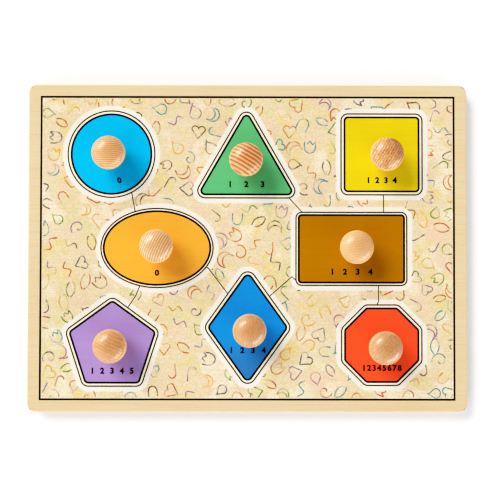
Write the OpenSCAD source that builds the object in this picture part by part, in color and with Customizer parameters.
// Wooden peg puzzle. A printed board holds eight flat shapes, each lifted by a turned ball knob.
// X runs to the right along the board, Y towards its far edge, and Z up from the surface it lies on.
// The origin is the middle of the underside.

/* [Board] */
// Length of the board from left to right
board_w = 400; // [375:5:440]
// Depth of the board from near edge to far edge
board_h = 298; // [286:2:330]
// Radius of the board's four corners
board_corner_r = 7.5; // [4:0.5:14]
// Thickness of the top panel, which the shapes are cut from
panel_t = 7; // [6:0.5:10]
// Thickness of the backing board, the floor of the pockets
backing_t = 3; // [2:0.5:6]
// Radius of the board's eased outer edges
edge_r = 1.2; // [0.5:0.1:1.8]

/* [Sawing] */
// Space all round between a shape and the wall of its pocket
pocket_gap = 0.8; // [0.4:0.1:1.2]
// Width of the saw kerfs that run from pocket to pocket
kerf_w = 0.8; // [0.4:0.1:1.2]
// Radius of the eased rim on top of each shape
rim_r = 0.4; // [0.2:0.1:1.5]

/* [Shapes] */
// Diameter of the circle
circle_d = 78.5; // [70:0.5:84]
// Width of the triangle's base, corner to corner
triangle_w = 88; // [80:0.5:94]
// Radius of the triangle's corners
triangle_corner_r = 6.5; // [4:0.5:9]
// Side of the square
square_w = 73.5; // [66:0.5:80]
// Radius of the square's corners
square_corner_r = 6; // [3:0.5:10]
// Width of the oval
oval_w = 101.5; // [92:0.5:108]
// Height of the oval
oval_h = 71.5; // [64:0.5:76]
// Width of the rectangle
rectangle_w = 100.5; // [92:0.5:108]
// Height of the rectangle
rectangle_h = 66; // [58:0.5:72]
// Radius of the rectangle's corners
rectangle_corner_r = 5; // [3:0.5:9]
// Width of the pentagon across its two side corners
pentagon_w = 82.5; // [74:0.5:88]
// Radius of the pentagon's corners
pentagon_corner_r = 6.5; // [4:0.5:9]
// Width of the diamond
diamond_w = 76; // [68:0.5:82]
// Height of the diamond
diamond_h = 100.5; // [90:0.5:106]
// Radius of the diamond's corners
diamond_corner_r = 7; // [4:0.5:9]
// Width of the octagon across its flats
octagon_w = 72.5; // [66:0.5:80]
// Radius of the octagon's corners
octagon_corner_r = 6; // [3:0.5:9]

/* [Knobs] */
// Diameter of a knob at its belly
knob_d = 30; // [26:0.5:34]
// Height of a knob from the shape to its crown
knob_h = 26; // [23:0.5:32]
// Height of the belly, where a knob is widest
belly_z = 15; // [13:0.5:17]
// Depth of the head under the belly, down to where it would close
under_h = 11.5; // [9:0.5:12]
// Diameter of the neck
neck_d = 15; // [12:0.5:15.5]
// Diameter of the foot that stands on the shape
foot_d = 17.5; // [16:0.5:20]
// Height of the foot's straight side
foot_h = 1; // [0.5:0.1:1.5]
// Radius of the eased bottom corner of the foot
foot_ease_r = 0.3; // [0.1:0.1:0.4]

/* [Screws] */
// Diameter of a screw's shank
shank_d = 3.5; // [3:0.1:4]
// Diameter of its countersunk head
head_d = 7; // [6:0.1:8]
// Height of the head's cone
head_h = 2; // [1.5:0.1:2.5]
// Height of the head's straight rim
head_rim_h = 0.3; // [0.2:0.1:0.5]
// Whole length of a screw
screw_l = 19; // [16:0.5:22]
// Length of its point
point_l = 3; // [2:0.5:4]
// Depth of the head below the underside of the shape
head_sink = 0.3; // [0.1:0.1:0.8]
// Width of each slot of the cross recess
recess_w = 0.9; // [0.7:0.1:1.2]
// Length of each slot of the cross recess
recess_l = 4; // [3:0.1:4.6]
// Depth of the cross recess
recess_depth = 1.4; // [0.8:0.1:1.6]
// Space between a screw and the wood round it
screw_gap = 0.08; // [0.05:0.01:0.15]
// Depth of the pilot bore past the screw's point
pilot_spare = 1; // [0.5:0.1:2]

/* [Hidden] */
shapes = ["circle", "triangle", "square", "oval", "rectangle", "pentagon", "diamond", "octagon"];

// Centre of each shape's pocket, as shares of the board's length and depth
place_shares = [
    ["circle", -0.3105, 0.2862],
    ["triangle", -0.003, 0.2842],
    ["square", 0.3055, 0.2869],
    ["oval", -0.206, -0.001],
    ["rectangle", 0.2365, -0.0027],
    ["pentagon", -0.3068, -0.2883],
    ["diamond", 0.0005, -0.243],
    ["octagon", 0.3052, -0.2963]
];

// Each knob's place from the middle of its shape, as shares of the shape's width and height
knob_shares = [
    ["circle", 0.005, -0.014],
    ["triangle", -0.003, -0.082],
    ["square", 0.025, -0.031],
    ["oval", 0.013, 0.019],
    ["rectangle", 0.025, 0.019],
    ["pentagon", 0.011, -0.021],
    ["diamond", 0.023, -0.014],
    ["octagon", 0.007, -0.009]
];

// Each kerf runs from one pocket by way of these points to another, as shares of the board
kerf_shares = [
    ["circle", "oval", [[-0.2635, 0.1639], [-0.2562, 0.1113]]],
    ["oval", "pentagon", [[-0.245, -0.1178], [-0.2545, -0.1476], [-0.2691, -0.1772]]],
    ["oval", "diamond", [[-0.0894, -0.0619], [-0.0466, -0.1368]]],
    ["diamond", "rectangle", [[0.0489, -0.1492], [0.101, -0.0881], [0.1087, -0.0975]]],
    ["triangle", "rectangle", [[0.0952, 0.1513], [0.1239, 0.1092]]],
    ["square", "rectangle", [[0.3098, 0.1623], [0.3097, 0.1102]]],
    ["rectangle", "octagon", [[0.298, -0.1142], [0.298, -0.1648], [0.2955, -0.17]]]
];

board_t = backing_t + panel_t;
board_size = [board_w, board_h];

// The sharp inner figures of the triangle and the pentagon, and the heights that follow from them
triangle_core_w = triangle_w - 2 * triangle_corner_r;
triangle_core_h = triangle_core_w * sin(60);
triangle_h = triangle_core_h + 2 * triangle_corner_r;
pentagon_core_r = (pentagon_w / 2 - pentagon_corner_r) / sin(72);
pentagon_h = pentagon_core_r * (1 + cos(36)) + 2 * pentagon_corner_r;

// Where the underside of a knob's head meets its neck
neck_turn = acos(neck_d / knob_d);
neck_z = belly_z - under_h * sin(neck_turn);

pilot_l = screw_l + head_sink - panel_t + pilot_spare;
overrun = 1;
corner_fn = 48;
round_fn = 96;
oval_steps = 96;
rim_steps = 3;
profile_steps = 12;

board_colour = "#E9D3A6";
backing_colour = "#D9BC8A";
knob_colour = "#DDA96C";
screw_colour = "#B9BCC0";
fills = [
    ["circle", "#00C4F0"],
    ["triangle", "#5FC77A"],
    ["square", "#F0DC28"],
    ["oval", "#FBB431"],
    ["rectangle", "#C07C00"],
    ["pentagon", "#B583D6"],
    ["diamond", "#1A8CE6"],
    ["octagon", "#FB4E28"]
];

function row(table, shape) = [for (entry = table) if (entry[0] == shape) entry][0];

function place(shape) =
    let (share = row(place_shares, shape))
    [share[1] * board_w, share[2] * board_h];

function span(shape) =
    shape == "circle" ? [circle_d, circle_d]
    : shape == "triangle" ? [triangle_w, triangle_h]
    : shape == "square" ? [square_w, square_w]
    : shape == "oval" ? [oval_w, oval_h]
    : shape == "rectangle" ? [rectangle_w, rectangle_h]
    : shape == "pentagon" ? [pentagon_w, pentagon_h]
    : shape == "diamond" ? [diamond_w, diamond_h]
    : [octagon_w, octagon_w];

function knob_place(shape) =
    let (share = row(knob_shares, shape), middle = place(shape), size = span(shape))
    [middle[0] + share[1] * size[0], middle[1] + share[2] * size[1]];

// A regular figure's corners, the first at the given angle
function corners(count, radius, first) =
    [for (i = [0:count - 1]) radius * [cos(first + 360 * i / count), sin(first + 360 * i / count)]];

// The quarter round of an eased edge at each step: how far in it lies, and how far from the face
function draw_in(radius, i) = radius * (1 - cos(90 * i / rim_steps));
function short_of(radius, i) = radius * (1 - sin(90 * i / rim_steps));

// Every figure is a sharp inner outline grown by the radius of its corners, so that an outline
// which is smaller or larger all round keeps its straight sides parallel.
module rounded_box(size, radius, grow) {
    offset(r = radius + grow, $fn = corner_fn)
        square([size[0] - 2 * radius, size[1] - 2 * radius], center = true);
}

module triangle_outline(grow) {
    half_base = triangle_core_w / 2;
    half_height = triangle_core_h / 2;
    offset(r = triangle_corner_r + grow, $fn = corner_fn)
        polygon([[-half_base, -half_height], [half_base, -half_height], [0, half_height]]);
}

module oval_outline(grow) {
    polygon([for (i = [0:oval_steps - 1])
        [(oval_w / 2 + grow) * cos(360 * i / oval_steps), (oval_h / 2 + grow) * sin(360 * i / oval_steps)]]);
}

module pentagon_outline(grow) {
    translate([0, pentagon_core_r * (cos(36) - 1) / 2])
        offset(r = pentagon_corner_r + grow, $fn = corner_fn)
            polygon(corners(5, pentagon_core_r, 90));
}

module diamond_outline(grow) {
    half_w = diamond_w / 2 - diamond_corner_r;
    half_h = diamond_h / 2 - diamond_corner_r;
    offset(r = diamond_corner_r + grow, $fn = corner_fn)
        polygon([[half_w, 0], [0, half_h], [-half_w, 0], [0, -half_h]]);
}

module octagon_outline(grow) {
    core_r = (octagon_w / 2 - octagon_corner_r) / cos(22.5);
    offset(r = octagon_corner_r + grow, $fn = corner_fn)
        polygon(corners(8, core_r, 22.5));
}

// A shape's outline round its own middle, grown by the given length on every side
module outline(shape, grow) {
    if (shape == "circle") circle(d = circle_d + 2 * grow, $fn = round_fn);
    if (shape == "triangle") triangle_outline(grow);
    if (shape == "square") rounded_box(span(shape), square_corner_r, grow);
    if (shape == "oval") oval_outline(grow);
    if (shape == "rectangle") rounded_box(span(shape), rectangle_corner_r, grow);
    if (shape == "pentagon") pentagon_outline(grow);
    if (shape == "diamond") diamond_outline(grow);
    if (shape == "octagon") octagon_outline(grow);
}

// One straight saw cut, which overruns both its ends by half its width
module saw_cut(from, to) {
    run = to - from;
    translate(from)
        rotate(atan2(run[1], run[0]))
            translate([-kerf_w / 2, -kerf_w / 2])
                square([norm(run) + kerf_w, kerf_w]);
}

// A kerf starts and ends in the open middle of a pocket, so it always meets the pocket's wall
module kerf(path) {
    bends = [for (share = path[2]) [share[0] * board_w, share[1] * board_h]];
    points = concat([place(path[0])], bends, [place(path[1])]);
    for (i = [1:len(points) - 1])
        saw_cut(points[i - 1], points[i]);
}

// The top panel: eased along its outer top edge, cut through by the pockets and the kerfs
module tray_frame() {
    color(board_colour)
        translate([0, 0, backing_t])
            difference() {
                hull()
                    for (i = [0:rim_steps])
                        linear_extrude(height = panel_t - short_of(edge_r, i))
                            rounded_box(board_size, board_corner_r, -draw_in(edge_r, i));
                for (shape = shapes)
                    translate([place(shape)[0], place(shape)[1], -overrun])
                        linear_extrude(height = panel_t + 2 * overrun)
                            outline(shape, pocket_gap);
                for (path = kerf_shares)
                    translate([0, 0, -overrun])
                        linear_extrude(height = panel_t + 2 * overrun)
                            kerf(path);
            }
}

// The floor of the pockets: eased along its outer bottom edge
module backing_board() {
    color(backing_colour)
        hull()
            for (i = [0:rim_steps])
                translate([0, 0, short_of(edge_r, i)])
                    linear_extrude(height = backing_t - short_of(edge_r, i))
                        rounded_box(board_size, board_corner_r, -draw_in(edge_r, i));
}

// The space for a screw, up from the underside of a shape: counterbore, countersink and clearance bore
module screw_hole() {
    head_r = head_d / 2 + screw_gap;
    shank_r = shank_d / 2 + screw_gap;
    rotate_extrude($fn = round_fn)
        polygon([
            [0, -overrun],
            [head_r, -overrun],
            [head_r, head_sink + head_rim_h],
            [shank_r, head_sink + head_rim_h + head_h],
            [shank_r, panel_t + overrun],
            [0, panel_t + overrun]
        ]);
}

// A flat shape with an eased top rim, lying on the floor of its pocket
module plate(shape) {
    middle = place(shape);
    knob_at = knob_place(shape);
    color(row(fills, shape)[1])
        difference() {
            translate([middle[0], middle[1], backing_t])
                if (shape == "circle")
                    round_plate();
                else
                    hull()
                        for (i = [0:rim_steps])
                            linear_extrude(height = panel_t - short_of(rim_r, i))
                                outline(shape, -draw_in(rim_r, i));
            translate([knob_at[0], knob_at[1], backing_t])
                screw_hole();
        }
}

module round_plate() {
    rotate_extrude($fn = round_fn)
        polygon(concat(
            [[0, 0], [circle_d / 2, 0]],
            [for (i = [0:profile_steps])
                let (turn = 90 * i / profile_steps)
                [circle_d / 2 - rim_r * (1 - cos(turn)), panel_t - rim_r * (1 - sin(turn))]],
            [[0, panel_t]]
        ));
}

// A knob's half section: eased foot, cove up to the neck, then the head as two quarter ovals
function foot_curve() = [for (i = [0:rim_steps])
    let (turn = 90 * i / rim_steps)
    [foot_d / 2 - foot_ease_r * (1 - sin(turn)), foot_ease_r * (1 - cos(turn))]];

function cove_curve() = [for (i = [0:profile_steps - 1])
    let (turn = 90 * i / profile_steps)
    [foot_d / 2 - (foot_d - neck_d) / 2 * sin(turn), foot_h + (neck_z - foot_h) * (1 - cos(turn))]];

function head_under_curve() = [for (i = [0:profile_steps - 1])
    let (turn = -neck_turn * (1 - i / profile_steps))
    [knob_d / 2 * cos(turn), belly_z + under_h * sin(turn)]];

function head_top_curve() = [for (i = [0:profile_steps])
    let (turn = 90 * i / profile_steps)
    [knob_d / 2 * cos(turn), belly_z + (knob_h - belly_z) * sin(turn)]];

module knob(shape) {
    knob_at = knob_place(shape);
    pilot_r = shank_d / 2 + screw_gap;
    color(knob_colour)
        translate([knob_at[0], knob_at[1], board_t])
            difference() {
                rotate_extrude($fn = round_fn)
                    polygon(concat([[0, 0]], foot_curve(), cove_curve(), head_under_curve(), head_top_curve()));
                translate([0, 0, -overrun])
                    cylinder(h = pilot_l + overrun, r = pilot_r, $fn = round_fn);
            }
}

// A countersunk wood screw, head down, with a cross recess
module screw(shape) {
    knob_at = knob_place(shape);
    color(screw_colour)
        translate([knob_at[0], knob_at[1], backing_t + head_sink])
            difference() {
                rotate_extrude($fn = round_fn)
                    polygon([
                        [0, 0],
                        [head_d / 2, 0],
                        [head_d / 2, head_rim_h],
                        [shank_d / 2, head_rim_h + head_h],
                        [shank_d / 2, screw_l - point_l],
                        [0, screw_l]
                    ]);
                for (turn = [0, 90])
                    rotate(turn)
                        translate([-recess_l / 2, -recess_w / 2, -overrun])
                            cube([recess_l, recess_w, recess_depth + overrun]);
            }
}

tray_frame();
backing_board();
for (shape = shapes) {
    plate(shape);
    knob(shape);
    screw(shape);
}
